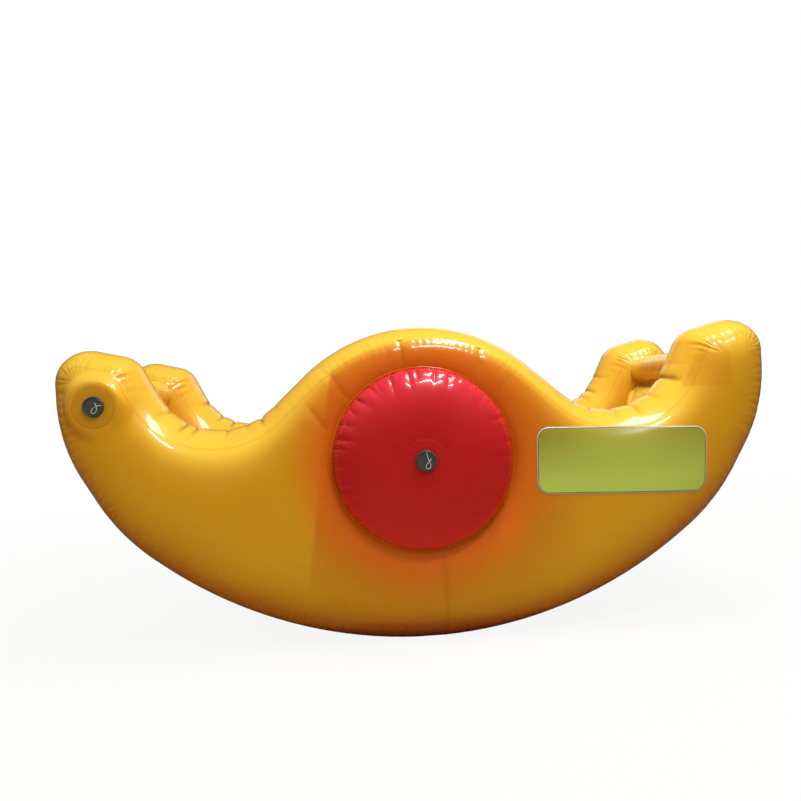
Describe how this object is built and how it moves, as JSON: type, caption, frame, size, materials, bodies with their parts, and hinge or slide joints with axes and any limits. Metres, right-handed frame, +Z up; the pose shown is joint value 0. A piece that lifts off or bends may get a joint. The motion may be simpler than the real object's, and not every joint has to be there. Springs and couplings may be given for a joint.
{
  "type": "inflatable water seesaw",
  "caption": "Inflatable seesaw of two crescent side floats on a round centre drum, with a seat and backrest between the floats at each end and screw-cap air valves.",
  "frame": {"origin": "centre of the footprint, on the ground under the drum", "axes": "+X along the seesaw, +Y across it away from the labelled side, +Z up"},
  "size_m": [2.413, 1.2969, 1.0439],
  "materials": {
    "yellow_pvc_tarpaulin": "glossy yellow PVC-coated polyester tarpaulin, welded seams",
    "red_pvc_tarpaulin": "glossy red PVC-coated polyester tarpaulin, welded seams",
    "black_polyethylene": "black moulded polyethylene",
    "o_ring_rubber": "black nitrile rubber",
    "spring_steel": "drawn stainless spring wire",
    "black_webbing": "woven black polyester webbing",
    "white_polyester_cord": "thin off-white braided polyester cord",
    "printed_vinyl_label": "yellow-green vinyl patch with a thin silver border, no print"
  },
  "bodies": {
    "seesaw": {"front_float_outer_face_panel": "yellow_pvc_tarpaulin", "front_float_inner_face_panel": "yellow_pvc_tarpaulin", "front_float_top_edge_strip": "yellow_pvc_tarpaulin", "front_float_bottom_edge_strip": "yellow_pvc_tarpaulin", "front_float_drum_sleeve": "yellow_pvc_tarpaulin", "rear_float_outer_face_panel": "yellow_pvc_tarpaulin", "rear_float_inner_face_panel": "yellow_pvc_tarpaulin", "rear_float_top_edge_strip": "yellow_pvc_tarpaulin", "rear_float_bottom_edge_strip": "yellow_pvc_tarpaulin", "rear_float_drum_sleeve": "yellow_pvc_tarpaulin", "drum_wrap": "red_pvc_tarpaulin", "drum_front_end": "red_pvc_tarpaulin", "drum_rear_end": "red_pvc_tarpaulin", "front_horn_valve_patch": "yellow_pvc_tarpaulin", "front_horn_valve_body": "black_polyethylene", "front_horn_valve_spring": "spring_steel", "rear_horn_valve_patch": "yellow_pvc_tarpaulin", "rear_horn_valve_body": "black_polyethylene", "rear_horn_valve_spring": "spring_steel", "drum_valve_patch": "red_pvc_tarpaulin", "drum_valve_body": "black_polyethylene", "drum_valve_spring": "spring_steel", "left_bolster": "yellow_pvc_tarpaulin", "left_backrest": "yellow_pvc_tarpaulin", "left_seat": "yellow_pvc_tarpaulin", "left_grab_handle": "black_webbing", "left_handle_front_patch": "red_pvc_tarpaulin", "left_handle_rear_patch": "red_pvc_tarpaulin", "right_bolster": "yellow_pvc_tarpaulin", "right_backrest": "yellow_pvc_tarpaulin", "right_seat": "yellow_pvc_tarpaulin", "right_grab_handle": "black_webbing", "right_handle_front_patch": "red_pvc_tarpaulin", "right_handle_rear_patch": "red_pvc_tarpaulin", "front_label": "printed_vinyl_label"},
    "front_horn_valve_cap_thread": {"front_horn_valve_o_ring": "o_ring_rubber"},
    "front_horn_valve_screw_cap": {"front_horn_valve_cap": "black_polyethylene", "front_horn_valve_pull_loop": "white_polyester_cord"},
    "front_horn_valve_plunger": {"front_horn_valve_plunger": "black_polyethylene"},
    "rear_horn_valve_cap_thread": {"rear_horn_valve_o_ring": "o_ring_rubber"},
    "rear_horn_valve_screw_cap": {"rear_horn_valve_cap": "black_polyethylene", "rear_horn_valve_pull_loop": "white_polyester_cord"},
    "rear_horn_valve_plunger": {"rear_horn_valve_plunger": "black_polyethylene"},
    "drum_valve_cap_thread": {"drum_valve_o_ring": "o_ring_rubber"},
    "drum_valve_screw_cap": {"drum_valve_cap": "black_polyethylene", "drum_valve_pull_loop": "white_polyester_cord"},
    "drum_valve_plunger": {"drum_valve_plunger": "black_polyethylene"}
  },
  "joints": [
    {"name": "front_horn_valve_cap_lift", "type": "slide", "parent": "seesaw", "child": "front_horn_valve_cap_thread", "axis": [0, -1, 0], "range_m": [0, 0.006]},
    {"name": "front_horn_valve_cap_turn", "type": "hinge", "parent": "front_horn_valve_cap_thread", "child": "front_horn_valve_screw_cap", "pos_m": [-1.039, -0.5634, 0.83], "axis": [0, -1, 0], "range_deg": [0, 540]},
    {"name": "front_horn_valve_plunger_travel", "type": "slide", "parent": "seesaw", "child": "front_horn_valve_plunger", "axis": [0, 1, 0], "range_m": [0, 0.006], "stiffness_N_per_m": 400, "springref_m": -0.003, "deforming": ["front_horn_valve_spring"]},
    {"name": "rear_horn_valve_cap_lift", "type": "slide", "parent": "seesaw", "child": "rear_horn_valve_cap_thread", "axis": [0, 1, 0], "range_m": [0, 0.006]},
    {"name": "rear_horn_valve_cap_turn", "type": "hinge", "parent": "rear_horn_valve_cap_thread", "child": "rear_horn_valve_screw_cap", "pos_m": [1.039, 0.5756, 0.83], "axis": [0, 1, 0], "range_deg": [0, 540]},
    {"name": "rear_horn_valve_plunger_travel", "type": "slide", "parent": "seesaw", "child": "rear_horn_valve_plunger", "axis": [0, -1, 0], "range_m": [0, 0.006], "stiffness_N_per_m": 400, "springref_m": -0.003, "deforming": ["rear_horn_valve_spring"]},
    {"name": "drum_valve_cap_lift", "type": "slide", "parent": "seesaw", "child": "drum_valve_cap_thread", "axis": [0, -1, 0], "range_m": [0, 0.006]},
    {"name": "drum_valve_cap_turn", "type": "hinge", "parent": "drum_valve_cap_thread", "child": "drum_valve_screw_cap", "pos_m": [0, -0.6352, 0.605], "axis": [0, -1, 0], "range_deg": [0, 540]},
    {"name": "drum_valve_plunger_travel", "type": "slide", "parent": "seesaw", "child": "drum_valve_plunger", "axis": [0, 1, 0], "range_m": [0, 0.006], "stiffness_N_per_m": 400, "springref_m": -0.003, "deforming": ["drum_valve_spring"]}
  ],
  "couplings": [
    {"joint": "front_horn_valve_cap_turn", "follows": "front_horn_valve_cap_lift", "rad_per_m": 1570.8},
    {"joint": "rear_horn_valve_cap_turn", "follows": "rear_horn_valve_cap_lift", "rad_per_m": 1570.8},
    {"joint": "drum_valve_cap_turn", "follows": "drum_valve_cap_lift", "rad_per_m": 1570.8}
  ]
}
